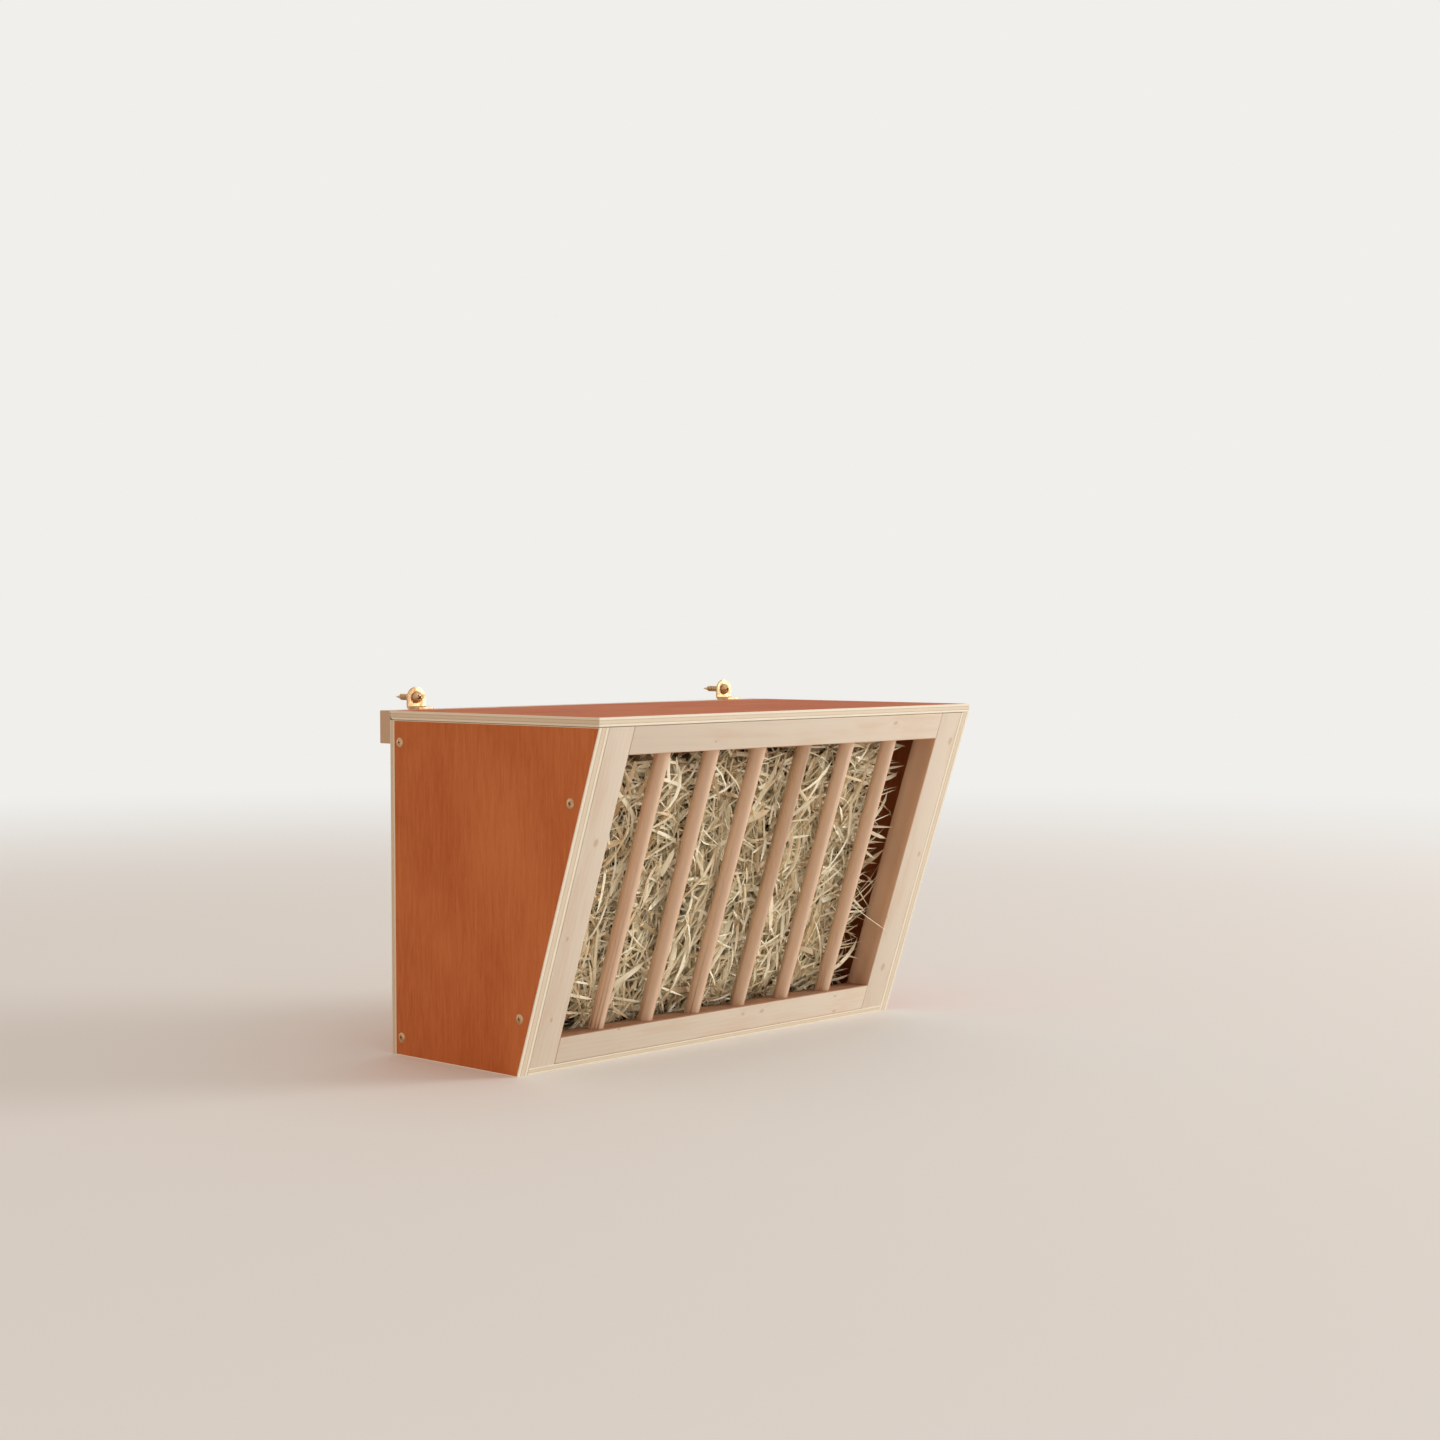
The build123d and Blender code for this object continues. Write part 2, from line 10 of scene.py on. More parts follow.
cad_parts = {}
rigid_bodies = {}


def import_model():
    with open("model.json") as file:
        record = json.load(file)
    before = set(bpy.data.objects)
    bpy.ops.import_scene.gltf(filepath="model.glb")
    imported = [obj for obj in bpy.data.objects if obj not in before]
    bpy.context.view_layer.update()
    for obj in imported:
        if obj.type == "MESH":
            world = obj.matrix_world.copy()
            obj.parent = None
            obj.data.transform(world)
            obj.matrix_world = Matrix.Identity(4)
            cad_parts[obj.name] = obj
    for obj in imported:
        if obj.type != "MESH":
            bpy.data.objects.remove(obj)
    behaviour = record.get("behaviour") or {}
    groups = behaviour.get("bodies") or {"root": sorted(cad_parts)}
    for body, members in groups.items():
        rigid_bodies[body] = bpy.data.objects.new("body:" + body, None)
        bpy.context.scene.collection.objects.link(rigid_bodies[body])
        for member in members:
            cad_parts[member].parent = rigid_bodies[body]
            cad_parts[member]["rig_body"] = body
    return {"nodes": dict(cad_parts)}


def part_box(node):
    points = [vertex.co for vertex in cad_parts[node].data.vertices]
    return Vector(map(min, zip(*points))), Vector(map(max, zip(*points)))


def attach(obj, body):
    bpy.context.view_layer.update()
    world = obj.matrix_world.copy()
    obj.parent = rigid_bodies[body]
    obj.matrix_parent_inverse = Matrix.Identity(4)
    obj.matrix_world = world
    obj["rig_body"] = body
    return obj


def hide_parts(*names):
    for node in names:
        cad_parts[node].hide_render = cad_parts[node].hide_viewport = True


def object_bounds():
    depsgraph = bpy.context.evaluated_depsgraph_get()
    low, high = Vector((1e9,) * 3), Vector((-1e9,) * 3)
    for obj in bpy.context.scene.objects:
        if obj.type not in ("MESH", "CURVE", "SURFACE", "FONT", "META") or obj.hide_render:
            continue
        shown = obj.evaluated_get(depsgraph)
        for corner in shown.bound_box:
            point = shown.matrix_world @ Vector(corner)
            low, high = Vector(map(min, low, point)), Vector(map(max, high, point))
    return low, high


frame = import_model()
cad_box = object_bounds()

bl_info = {
    "name": "Hay Feeder Box",
    "version": (1, 0, 0),
    "blender": (4, 5, 0),
    "location": "View3D > Sidebar > Hay Feeder",
    "description": "Gives the plywood hay feeder its wood, brass, fasteners and hay",
    "category": "Add Mesh",
}

MM = 0.001
X, Y, Z = Vector((1, 0, 0)), Vector((0, 1, 0)), Vector((0, 0, 1))
FRONT_LEAN = math.radians(19)
BARS = [f"bar_{number}" for number in range(1, 7)]

# ---------------------------------------------------------------- settings


def screen_colour(red, green, blue):
    """A colour named by its 0 to 255 values on a screen, as the linear values that Blender uses."""
    shares = [channel / 255 for channel in (red, green, blue)]
    return [((share + 0.055) / 1.055) ** 2.4 if share > 0.04 else share / 12.92 for share in shares]


def colour(name, description, *value):
    """A colour property."""
    return FloatVectorProperty(name=name, description=description, subtype="COLOR", size=3,
                               min=0, max=1, default=screen_colour(*value))


def length(name, description, millimetres):
    """A length property."""
    return FloatProperty(name=name, description=description, unit="LENGTH", subtype="DISTANCE",
                         min=0, default=millimetres * MM)


class HayFeederWood(bpy.types.PropertyGroup):
    """Colours and grain of the wooden pieces."""

    stain: colour("Stain", "Red-brown stain on the faces of the plywood", 214, 128, 76)
    stain_dark: colour("Stain, dark", "Stain where the veneer soaks up more of it", 186, 96, 50)
    veneer: colour("Ply edge", "Outer veneers at a bare edge of the plywood", 243, 232, 211)
    core: colour("Ply core", "Middle layer at a bare edge of the plywood", 230, 213, 188)
    glue: colour("Glue line", "Line between two layers of the plywood", 178, 146, 114)
    pine: colour("Pine", "Planed pine between its growth lines", 224, 209, 190)
    pine_line: colour("Growth line", "Latewood lines of the pine", 214, 184, 154)
    pine_end: colour("End grain", "Pine cut across its grain", 206, 174, 144)
    # Painted shade: these two colours darken the frame's faces round the opening and the bottom rail's
    # face under the hay, where shade falls.
    pine_inner_painted_shade: colour("Inner edges", "Browner edges of the frame round its opening", 218, 176, 143)
    pine_foot_painted_shade: colour("Pine, foot", "Upper face of the bottom rail, under the hay", 170, 122, 88)
    knot: colour("Knot", "Small knots in the pine", 176, 132, 98)
    beech: colour("Dowel", "Turned dowels of the barred front", 226, 192, 162)
    beech_fleck: colour("Fleck", "Short flecks along the dowels", 204, 158, 124)
    ring_gap: length("Growth line spacing", "Distance between growth lines of the pine", 2.1)


class HayFeederMetal(bpy.types.PropertyGroup):
    """Colours and detail of the brackets, hinges, screws and nails."""

    brass: colour("Brass", "Brass plating of brackets, hinges and screws", 212, 176, 134)
    brass_dull: colour("Brass, dull", "Plating where it has dulled", 162, 120, 80)
    steel: colour("Steel", "Bright wire nails", 196, 196, 198)
    thread_pitch: length("Thread pitch", "Distance between turns of a screw's thread", 1.2)
    arris: length("Arris", "Rounding of the edges of sheet brass", 0.15)


class HayFeederHay(bpy.types.PropertyGroup):
    """The hay inside the feeder."""

    pale: colour("Hay, pale", "Bleached blades", 255, 246, 218)
    straw: colour("Hay, straw", "Blades of middling colour", 231, 206, 166)
    # Darker blades, and painted shade: the deep blades get low tones near this colour in place of the
    # shade deep in the box.
    dark_blades_and_depth_shade: colour("Hay, dark", "Older and darker blades", 104, 70, 42)
    front_count: IntProperty(name="Front blades", description="Blades close behind the bars",
                             min=0, default=3400)
    deep_count: IntProperty(name="Deep blades", description="Broad blades further in",
                            min=0, default=2000)
    top_count: IntProperty(name="Top blades", description="Blades that lie under the lid",
                           min=0, default=2200)
    seed: IntProperty(name="Seed", description="Another number lays the hay another way", default=7)


class HayFeederStage(bpy.types.PropertyGroup):
    """Floor, light and camera."""

    floor: colour("Floor", "Plain floor under the feeder", 242, 240, 236)
    backdrop: colour("Backdrop", "Plain colour behind the feeder", 240, 239, 236)
    sky: FloatProperty(name="Fill light", description="Strength of the light from all round",
                       min=0, default=0.62)
    bounce: colour("Bounced light", "Tint of the light from the wall's side", 255, 218, 183)
    key: FloatProperty(name="Key light", description="Power of the soft lamp at the right",
                       unit="POWER", min=0, default=64)
    lens: FloatProperty(name="Lens", description="Focal length of the camera, in millimetres",
                        min=1, default=59.24)


# ---------------------------------------------------------------- shader expressions


class Socket:
    """An output of a node. Arithmetic on it adds Math nodes to the node's tree."""

    def __init__(self, shading, output):
        self.shading = shading
        self.output = output

    def math(self, operation, *values):
        """A Math node on these values, as a socket."""
        return self.shading.node("ShaderNodeMath", {"operation": operation}, dict(enumerate(values)))

    def __add__(self, other):
        return self.math("ADD", self, other)

    def __radd__(self, other):
        return self.math("ADD", other, self)

    def __sub__(self, other):
        return self.math("SUBTRACT", self, other)

    def __rsub__(self, other):
        return self.math("SUBTRACT", other, self)

    def __mul__(self, other):
        return self.math("MULTIPLY", self, other)

    def __abs__(self):
        return self.math("ABSOLUTE", self)

    def fraction(self):
        """What is left above the whole number."""
        return self.math("FRACT", self)

    def above(self, limit):
        """1 above the limit, and 0 up to it."""
        return self.math("GREATER_THAN", self, limit)


class Shading:
    """A node tree in the making."""

    def __init__(self, tree):
        self.tree = tree

    def node(self, kind, settings=None, inputs=None, output=0):
        """Add a node: its settings first, then the values or links of its sockets."""
        made = self.tree.nodes.new(kind)
        for key, value in (settings or {}).items():
            setattr(made, key, value)
        for key, value in (inputs or {}).items():
            socket = made.inputs[key]
            if isinstance(value, Socket):
                self.tree.links.new(value.output, socket)
            elif socket.type == "RGBA":
                socket.default_value = (*value, 1)
            else:
                socket.default_value = value
        return Socket(self, made.outputs[output])

    def space(self, size, turn=(0, 0, 0), centre=(0, 0, 0)):
        """The piece's coordinates about a centre, turned back and counted in steps of `size`."""
        place = self.node("ShaderNodeTexCoord", output="Object")
        return self.node("ShaderNodeMapping", {"vector_type": "TEXTURE"},
                         {"Vector": place, "Location": centre, "Rotation": turn, "Scale": size})

    def noise(self, space, detail=2.0, roughness=0.5, distortion=0.0):
        """Noise from 0 to 1 with one feature per step of the space."""
        return self.node("ShaderNodeTexNoise", {}, {
            "Vector": space, "Scale": 1.0, "Detail": detail, "Roughness": roughness,
            "Distortion": distortion})

    def rise(self, value, low, high):
        """0 below low, 1 above high, and smooth between them."""
        return self.node("ShaderNodeMapRange", {"interpolation_type": "SMOOTHSTEP"},
                         {"Value": value, "From Min": low, "From Max": high})

    def along(self, vector, direction):
        """How far a vector reaches in a direction."""
        return self.node("ShaderNodeVectorMath", {"operation": "DOT_PRODUCT"},
                         {0: vector, 1: direction}, "Value")

    def size_of(self, vector):
        """How long a vector is."""
        return self.node("ShaderNodeVectorMath", {"operation": "LENGTH"}, {0: vector}, "Value")

    def part_of(self, vector, axis):
        """One part of a vector: 0, 1 or 2 for X, Y or Z."""
        return self.node("ShaderNodeSeparateXYZ", {}, {0: vector}, axis)

    def blend(self, factor, first, second):
        """A colour that goes from first to second with the factor."""
        return self.node("ShaderNodeMix", {"data_type": "RGBA"}, {0: factor, 6: first, 7: second}, 2)

    def ray(self, kind):
        """1 for rays of a kind, such as Is Camera Ray, or another value of the Light Path node."""
        return self.node("ShaderNodeLightPath", output=kind)

    def seen(self):
        """1 or more for what the camera sees straight, mirrored or through glass."""
        return self.ray("Is Camera Ray") + self.ray("Is Glossy Ray") + self.ray("Is Transmission Ray")

    def show(self, shown):
        """Link a shader to the tree's output."""
        output = next(node for node in self.tree.nodes if node.type.startswith("OUTPUT"))
        self.tree.links.new(shown.output, output.inputs["Surface"])


class Finish(Shading):
    """A material in the making, on a piece's own Object coordinates."""

    def __init__(self, name, roughness, metallic=0.0, specular=0.5):
        self.material = bpy.data.materials.new(name)
        self.material.use_nodes = True
        super().__init__(self.material.node_tree)
        self.shader = self.tree.nodes["Principled BSDF"]
        for socket, value in (("Roughness", roughness), ("Metallic", metallic),
                              ("Specular IOR Level", specular)):
            self.shader.inputs[socket].default_value = value

    def surface(self, **varying):
        """Link what changes over the surface to the shader, such as Base_Color or Roughness."""
        for name, value in varying.items():
            self.tree.links.new(value.output, self.shader.inputs[name.replace("_", " ")])
        return self.material

    def bump(self, height, distance):
        """A normal from a height of 0 to 1, `distance` metres deep."""
        return self.node("ShaderNodeBump", {}, {"Distance": distance, "Height": height})


# ---------------------------------------------------------------- wood

# Knots on the pine, in metres, with their radii
LEFT_STILE_KNOTS = (
    ((-0.1111, -0.1289, -0.0595), 0.0017),
    ((-0.1144, -0.1145, -0.1013), 0.0010),
    ((-0.1125, -0.1019, -0.1378), 0.0010),
)
RIGHT_STILE_KNOTS = (
    ((0.1159, -0.1412, -0.0237), 0.0018),
    ((0.1162, -0.1217, -0.0804), 0.0013),
    ((0.1123, -0.1018, -0.1382), 0.0019),
    ((0.1043, -0.1109, -0.1116), 0.0009),
    ((0.1040, -0.1332, -0.0318), 0.0020),
    ((0.1040, -0.1022, -0.1013), 0.0010),
    ((0.1040, -0.0970, -0.1272), 0.0011),
    ((0.1040, -0.0878, -0.1402), 0.0009),
)
TOP_RAIL_KNOTS = (((0.0699, -0.1447, -0.0134), 0.0014), ((-0.052, -0.1432, -0.018), 0.0008))
BOTTOM_RAIL_KNOTS = (
    ((0.0800, -0.0978, -0.1496), 0.0009),
    ((0.0825, -0.0951, -0.1576), 0.0011),
    ((0.0139, -0.0975, -0.1507), 0.0011),
    ((0.0272, -0.0974, -0.1508), 0.0014),
    ((-0.0687, -0.0986, -0.1475), 0.0009),
)


def stained_plywood(name, wood, axis, node, turn, soaked=0.0):
    """Three-layer plywood with stained faces square to an axis and bare layered edges."""
    finish = Finish(name, roughness=0.5, specular=0.09)
    low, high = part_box(node)
    half = (high[axis] - low[axis]) / 2
    middle = [0, 0, 0]
    middle[axis] = low[axis] + half

    cloud = finish.noise(finish.space((34 * MM, 34 * MM, 60 * MM), turn), detail=2)
    streak = finish.noise(finish.space((1.5 * MM, 1.5 * MM, 15 * MM), turn), detail=4, distortion=0.4)
    fibre = finish.noise(finish.space((0.3 * MM, 0.3 * MM, 5 * MM), turn), detail=3)
    pore = finish.rise(finish.noise(finish.space((0.2 * MM, 0.2 * MM, 2.4 * MM), turn)), 0.62, 0.74)
    soak = streak * 0.4 + cloud * 0.45 + fibre * 0.25
    face = finish.blend(finish.rise(soak, 0.3, 0.85) + soaked, wood.stain, wood.stain_dark)
    face = finish.blend(pore * 0.3, face, wood.stain_dark)

    # 0 in the middle of the board and 1 at its faces: the glue line lies at two fifths
    layer = abs(finish.part_of(finish.space([half] * 3, centre=middle), axis))
    ragged = (finish.noise(finish.space([0.9 * MM] * 3), detail=3) - 0.5) * 0.06
    inside = 1 - finish.rise(layer + ragged, 0.36, 0.42)
    line = finish.rise(layer + ragged, 0.33, 0.37) * (1 - finish.rise(layer + ragged, 0.43, 0.48))
    grit = finish.noise(finish.space([0.35 * MM] * 3), detail=4, roughness=0.7)
    edge = finish.blend(inside, wood.veneer, wood.core)
    edge = finish.blend(line * 0.6, edge, wood.glue)
    edge = finish.blend(finish.rise(grit, 0.52, 0.8) * 0.25, edge, wood.glue)

    normal = finish.node("ShaderNodeTexCoord", output="Normal")
    is_face = abs(finish.part_of(normal, axis)).above(0.85)
    relief = (fibre * 0.6 - pore * 0.8) * is_face + (grit * 1.6 - line * 1.4) * (1 - is_face)
    return finish.surface(
        Base_Color=finish.blend(is_face, edge, face),
        Roughness=0.74 - is_face * (0.2 - fibre * 0.12),
        Normal=finish.bump(relief, 0.05 * MM),
    )


def planed_pine(name, wood, turn, pith, knots=(), painted_shade=None):
    """Bare pine, its growth rings round a pith line along the turned Z axis.

    The argument after the knots gives painted shade: a direction, the distance along it past which a
    face looks into the frame's opening, and the darker colour painted there in place of shade.
    """
    finish = Finish(name, roughness=0.6, specular=0.35)
    gap = wood.ring_gap
    drift = finish.noise(finish.space((22 * MM, 22 * MM, 150 * MM), turn), detail=2) - 0.5
    fibre = finish.noise(finish.space((0.3 * MM, 0.3 * MM, 14 * MM), turn), detail=3)
    cloud = finish.noise(finish.space((7 * MM, 7 * MM, 38 * MM), turn), detail=3)
    rings = finish.size_of(finish.space((gap, gap, 1000), turn, pith)) + drift * 3.2
    knot = None
    for place, radius in knots:
        reach = finish.size_of(finish.space((radius, radius, radius * 1.5), turn, place))
        spot = 1 - finish.rise(reach, 0.4, 1.0)
        rings = rings + (1 - finish.rise(reach, 0.6, 3.4)) * 0.9
        knot = spot if knot is None else knot + spot
    part = rings.fraction()
    late = finish.rise(part, 0.35, 0.9) * (1 - finish.rise(part, 0.93, 1.0))

    base = finish.blend(late * 0.16 + finish.rise(cloud, 0.42, 0.8) * 0.5, wood.pine, wood.pine_line)
    base = finish.blend(finish.rise(fibre, 0.45, 0.8) * 0.16, base, wood.pine_line)
    relief = fibre * 0.6 + late * 0.15
    if knot is not None:
        base = finish.blend(knot * 0.42, base, wood.knot)
        relief = relief - knot * 0.3
    # Painted shade: faces that look into the opening are painted darker and browner, as they lie in
    # shade.
    if painted_shade is not None:
        direction, limit, tone = painted_shade
        place = finish.node("ShaderNodeTexCoord", output="Object")
        painted_shade_mask = finish.along(place, direction).above(limit)
        base = finish.blend(painted_shade_mask * (0.75 + cloud * 0.4), base, tone)
    grain = Euler(turn).to_matrix() @ Z
    normal = finish.node("ShaderNodeTexCoord", output="Normal")
    cut_end = abs(finish.along(normal, grain)).above(0.8)
    base = finish.blend(cut_end * (0.7 + fibre * 0.5), base, wood.pine_end)
    return finish.surface(
        Base_Color=base,
        Roughness=0.7 - late * 0.14,
        Normal=finish.bump(relief, 0.05 * MM),
    )


def turned_beech(name, wood, turn):
    """Smooth dowel with short flecks along it."""
    finish = Finish(name, roughness=0.46, specular=0.5)
    cloud = finish.noise(finish.space((5 * MM, 5 * MM, 40 * MM), turn), detail=3)
    fibre = finish.noise(finish.space((0.25 * MM, 0.25 * MM, 8 * MM), turn), detail=3)
    fleck = finish.rise(finish.noise(finish.space((0.3 * MM, 0.3 * MM, 2.2 * MM), turn)), 0.62, 0.7)
    base = finish.blend(finish.rise(cloud * 0.6 + fibre * 0.4, 0.35, 0.75) * 0.25,
                        wood.beech, wood.beech_fleck)
    base = finish.blend(fleck * 0.25, base, wood.beech_fleck)
    return finish.surface(
        Base_Color=base,
        Roughness=0.36 + fibre * 0.14,
        Normal=finish.bump(fibre - fleck * 0.6, 0.01 * MM),
    )


def dulled_brass(name, metal):
    """Brass plating with a soft tarnish and fine rubbing marks."""
    finish = Finish(name, roughness=0.3, metallic=1.0)
    cloud = finish.noise(finish.space([2.6 * MM] * 3), detail=4, roughness=0.6)
    rub = finish.noise(finish.space((0.15 * MM, 0.15 * MM, 2.5 * MM), (0.5, 0.9, 0)), detail=2)
    dull = finish.rise(cloud, 0.42, 0.7)
    return finish.surface(
        Base_Color=finish.blend(dull * 0.6, metal.brass, metal.brass_dull),
        Roughness=0.36 + dull * 0.16 + rub * 0.12,
        Normal=finish.bump(rub + cloud * 0.5, 0.01 * MM),
    )


def bright_steel(name, metal):
    """Drawn wire with a fine grain."""
    finish = Finish(name, roughness=0.35, metallic=1.0)
    drawn = finish.noise(finish.space([0.2 * MM] * 3), detail=3)
    grey = finish.blend(drawn * 0.3, metal.steel, (0.3, 0.29, 0.28))
    return finish.surface(
        Base_Color=grey,
        Roughness=0.28 + drawn * 0.2,
        Normal=finish.bump(drawn, 0.01 * MM),
    )


def dried_grass(name, hay):
    """Hay: each blade has its own tone, a straw-coloured tip and fine darker specks. The low tones of
    the deep blades are painted shade.
    """
    finish = Finish(name, roughness=0.62, specular=0.35)
    tone = finish.node("ShaderNodeAttribute", {"attribute_name": "tone"}, output="Fac")
    along = finish.node("ShaderNodeAttribute", {"attribute_name": "along"}, output="Fac")
    patch = finish.noise(finish.space([6 * MM] * 3), detail=3)
    speck = finish.noise(finish.space([0.4 * MM] * 3), detail=3, roughness=0.6)
    base = finish.blend(finish.rise(tone, 0.0, 0.24), hay.dark_blades_and_depth_shade, hay.straw)
    base = finish.blend(finish.rise(tone + (patch - 0.5) * 0.5, 0.15, 0.6), base, hay.pale)
    base = finish.blend(finish.rise(along, 0.75, 1.0) * 0.25, base, hay.straw)
    base = finish.blend(finish.rise(speck, 0.55, 0.75) * 0.2, base, hay.dark_blades_and_depth_shade)
    return finish.surface(
        Base_Color=base,
        Roughness=0.55 + speck * 0.25,
        Normal=finish.bump(speck, 0.04 * MM),
    )


# ---------------------------------------------------------------- modelling by hand


def settings():
    """What the sidebar sets."""
    return bpy.context.scene.hay_feeder


def select_only(*pieces):
    """Select these pieces alone, the last of them active."""
    bpy.ops.object.select_all(action="DESELECT")
    for piece in pieces:
        piece.select_set(True)
    bpy.context.view_layer.objects.active = pieces[-1]


def select_parts(piece, parts, wanted):
    """In edit mode, select just the faces, edges or verts of the piece that are wanted."""
    bpy.ops.mesh.select_all(action="DESELECT")
    mesh = bmesh.from_edit_mesh(piece.data)
    for part in getattr(mesh, parts):
        if wanted(part):
            part.select_set(True)
    bmesh.update_edit_mesh(piece.data)


def settle(piece, name):
    """Name a piece and put its place into its mesh."""
    select_only(piece)
    bpy.ops.object.transform_apply(location=True, rotation=True, scale=True)
    piece.name = piece.data.name = name
    return piece


def paint(piece, material):
    """Give a piece one material all over."""
    piece.data.materials.clear()
    piece.data.materials.append(material)
    return piece


def apply_modifier(piece, kind, **values):
    """Add a modifier, set it and apply it."""
    select_only(piece)
    modifier = piece.modifiers.new(kind.title(), kind)
    for key, value in values.items():
        setattr(modifier, key, value)
    bpy.ops.object.modifier_apply(modifier=modifier.name)


# ---------------------------------------------------------------- turned and sheet metal

HEAD_ANGLES = (20, 40, 60, 78)  # degrees from the crown of a domed head, one for each ring
SCREW_SIDES = 28
BLUNT = 0.12  # share of the radius that stays flat at a head's crown and at a point


def turn_outline(name, outline, sides):
    """A solid of revolution about Z, drawn down from its top ring by ring: (radius, height) pairs."""
    radius, height = outline[0]
    bpy.ops.mesh.primitive_circle_add(vertices=sides, radius=radius, fill_type="NGON",
                                      location=(0, 0, height))
    piece = bpy.context.object
    bpy.ops.object.mode_set(mode="EDIT")
    for next_radius, next_height in outline[1:]:
        bpy.ops.mesh.extrude_region_move(
            TRANSFORM_OT_translate={"value": (0, 0, next_height - height)})
        share = next_radius / radius
        bpy.ops.transform.resize(value=(share, share, 1), center_override=(0, 0, next_height))
        radius, height = next_radius, next_height
    bpy.ops.mesh.select_all(action="SELECT")
    bpy.ops.mesh.normals_make_consistent(inside=False)
    bpy.ops.object.mode_set(mode="OBJECT")
    return settle(piece, name)


def cut_cross(screw, span, width, top, depth):
    """Sink a tapered drive cross into a head whose crown is at `top`, one arm at a time."""
    for size in ((span, width), (width, span)):
        bpy.ops.mesh.primitive_cube_add(size=1, location=(0, 0, top))
        arm = bpy.context.object
        bpy.ops.object.mode_set(mode="EDIT")
        bpy.ops.transform.resize(value=(*size, 2 * depth), center_override=(0, 0, top))
        select_parts(arm, "faces", lambda face: face.normal.z < -0.9)
        bpy.ops.transform.resize(value=(0.55, 0.55, 1), center_override=(0, 0, top - depth))
        bpy.ops.object.mode_set(mode="OBJECT")
        apply_modifier(screw, "BOOLEAN", object=arm, operation="DIFFERENCE", solver="EXACT")
        bpy.data.objects.remove(arm)


def wind_thread(core, crest, start, end, pitch):
    """A thread's ridge: a three-sided ring wound down the core from start to end."""
    turns = max(1, int((start - end) / pitch))
    middle = (core + crest) / 2
    root = core * 0.96
    bpy.ops.mesh.primitive_circle_add(vertices=3, radius=pitch * 0.3, fill_type="NGON",
                                      location=(middle, 0, start), rotation=(math.pi / 2, 0, 0))
    ridge = bpy.context.object
    bpy.ops.object.mode_set(mode="EDIT")
    bpy.ops.mesh.delete(type="ONLY_FACE")
    bpy.ops.transform.rotate(value=math.pi / 2, orient_axis="Y", center_override=(middle, 0, start))
    bpy.ops.object.mode_set(mode="OBJECT")
    settle(ridge, "thread")
    low = min(vertex.co.x for vertex in ridge.data.vertices)
    high = max(vertex.co.x for vertex in ridge.data.vertices)
    for vertex in ridge.data.vertices:
        vertex.co.x = root + (vertex.co.x - low) / (high - low) * (crest - root)
    apply_modifier(ridge, "SCREW", axis="Z", angle=-2 * math.pi, screw_offset=-pitch,
                   iterations=turns, steps=18, render_steps=18, use_merge_vertices=False)
    bpy.ops.object.mode_set(mode="EDIT")
    bpy.ops.mesh.select_mode(type="EDGE")
    select_parts(ridge, "edges", lambda edge: len(edge.link_faces) == 1)
    bpy.ops.mesh.fill()
    bpy.ops.mesh.select_mode(type="FACE")
    bpy.ops.mesh.select_all(action="SELECT")
    bpy.ops.mesh.normals_make_consistent(inside=False)
    bpy.ops.mesh.select_mode(type="VERT")
    bpy.ops.object.mode_set(mode="OBJECT")
    return ridge


def model_screw(name, head, rise, shank, reach, sunk, pitch, neck=None, recess=0.5 * MM):
    """A wood screw along -Z with its seat at Z = 0: head, smooth neck, core, thread and point.

    A sunk head has a cone under its rim. The drive cross ends `recess` under the seat.
    """
    radius, shank_radius = head / 2, shank / 2
    core = shank_radius * 0.7
    neck_radius = (neck or core * 2) / 2
    outline = [(radius * BLUNT, rise)]
    for angle in HEAD_ANGLES:
        turn = math.radians(angle)
        outline.append((radius * math.sin(turn), rise * math.cos(turn)))
    if sunk:
        outline.append((radius, -0.04 * MM))
        cone_foot = -(radius - neck_radius)
        neck_foot = cone_foot - 2.0 * MM
    else:
        outline += [(radius, 0.1 * MM), (radius * 0.97, 0)]
        cone_foot = 0
        neck_foot = -1.0 * MM
    outline += [(neck_radius, cone_foot - 0.01 * MM), (neck_radius, neck_foot)]
    outline += [(core, neck_foot - 0.1 * MM), (core, -reach + shank * 1.3), (core * BLUNT, -reach)]
    screw = turn_outline(name, outline, SCREW_SIDES)
    cut_cross(screw, head * 0.62, head * 0.15, rise, recess + rise)
    thread = wind_thread(core, shank_radius, neck_foot - 0.6 * MM, -reach + shank * 1.25, pitch)
    select_only(thread, screw)
    bpy.ops.object.join()
    bpy.ops.object.shade_smooth_by_angle(angle=math.radians(38))
    return screw


def copy_at(model, place):
    """A copy of a model with its own mesh, moved by a matrix."""
    copy = model.copy()
    copy.data = model.data.copy()
    copy.data.transform(place)
    bpy.context.collection.objects.link(copy)
    return copy


def join_copies(copies, name):
    """Join the copies as one piece."""
    select_only(*copies)
    bpy.ops.object.join()
    piece = bpy.context.object
    piece.name = piece.data.name = name
    return piece


def seat(x, y, z, facing, spin=0.0):
    """Where a screw or a blade goes: its origin at a point, its Z axis facing a direction."""
    turn = Vector(facing).to_track_quat("Z", "Y").to_matrix().to_4x4()
    return Matrix.Translation((x, y, z)) @ turn @ Matrix.Rotation(spin, 4, "Z")


def solids_of(node):
    """Lowest and highest corners of each loose solid of a CAD node, from left to right."""
    mesh = bmesh.new()
    mesh.from_mesh(frame["nodes"][node].data)
    bmesh.ops.remove_doubles(mesh, verts=mesh.verts, dist=0.001 * MM)
    left, found = set(mesh.verts), []
    while left:
        group, to_visit = set(), [left.pop()]
        while to_visit:
            vertex = to_visit.pop()
            group.add(vertex)
            for edge in vertex.link_edges:
                other = edge.other_vert(vertex)
                if other in left:
                    left.discard(other)
                    to_visit.append(other)
        low = Vector([min(vertex.co[i] for vertex in group) for i in range(3)])
        high = Vector([max(vertex.co[i] for vertex in group) for i in range(3)])
        found.append((low, high))
    mesh.free()
    return sorted(found, key=lambda box: tuple(round(c, 6) for c in box[0]))


